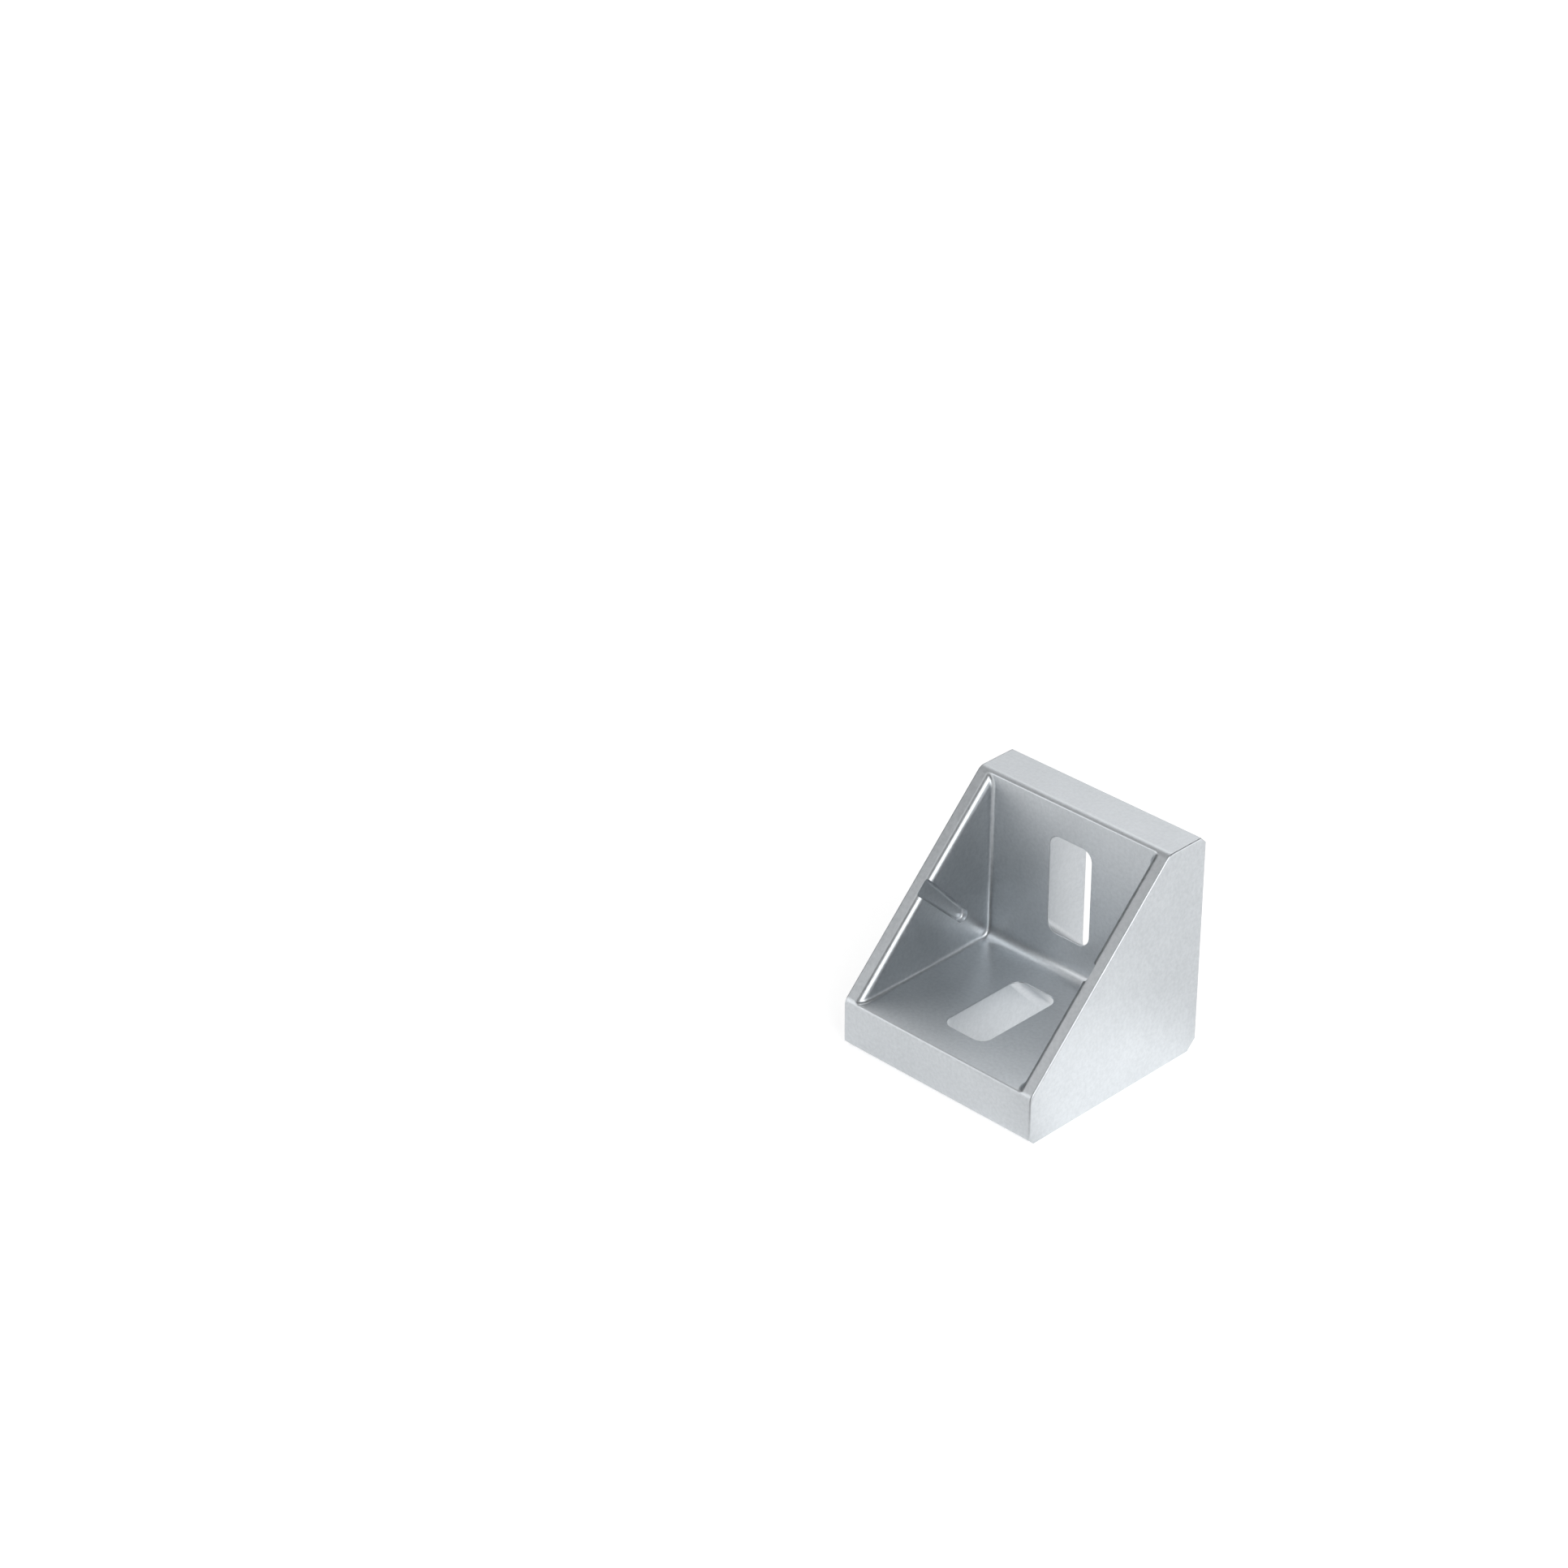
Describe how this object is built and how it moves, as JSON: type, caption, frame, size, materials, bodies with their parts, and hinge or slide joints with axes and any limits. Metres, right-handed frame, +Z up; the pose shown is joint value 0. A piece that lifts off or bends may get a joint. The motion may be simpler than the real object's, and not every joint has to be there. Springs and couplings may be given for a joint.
{
  "type": "t slot corner bracket",
  "caption": "Cast right-angle corner bracket with full side walls, a pocket between them and a screw slot through each leg, for joining T slot profiles.",
  "frame": {"origin": "middle of the bracket's footprint, on the base mounting face", "axes": "+Z up from the base mounting face, +Y out of the back mounting face, X across the width"},
  "size_m": [0.04, 0.0396, 0.0395],
  "materials": {
    "cast_aluminium": "fine blasted die casting, satin, bare metal"
  },
  "bodies": {
    "root": {"corner_bracket": "cast_aluminium"}
  },
  "joints": []
}
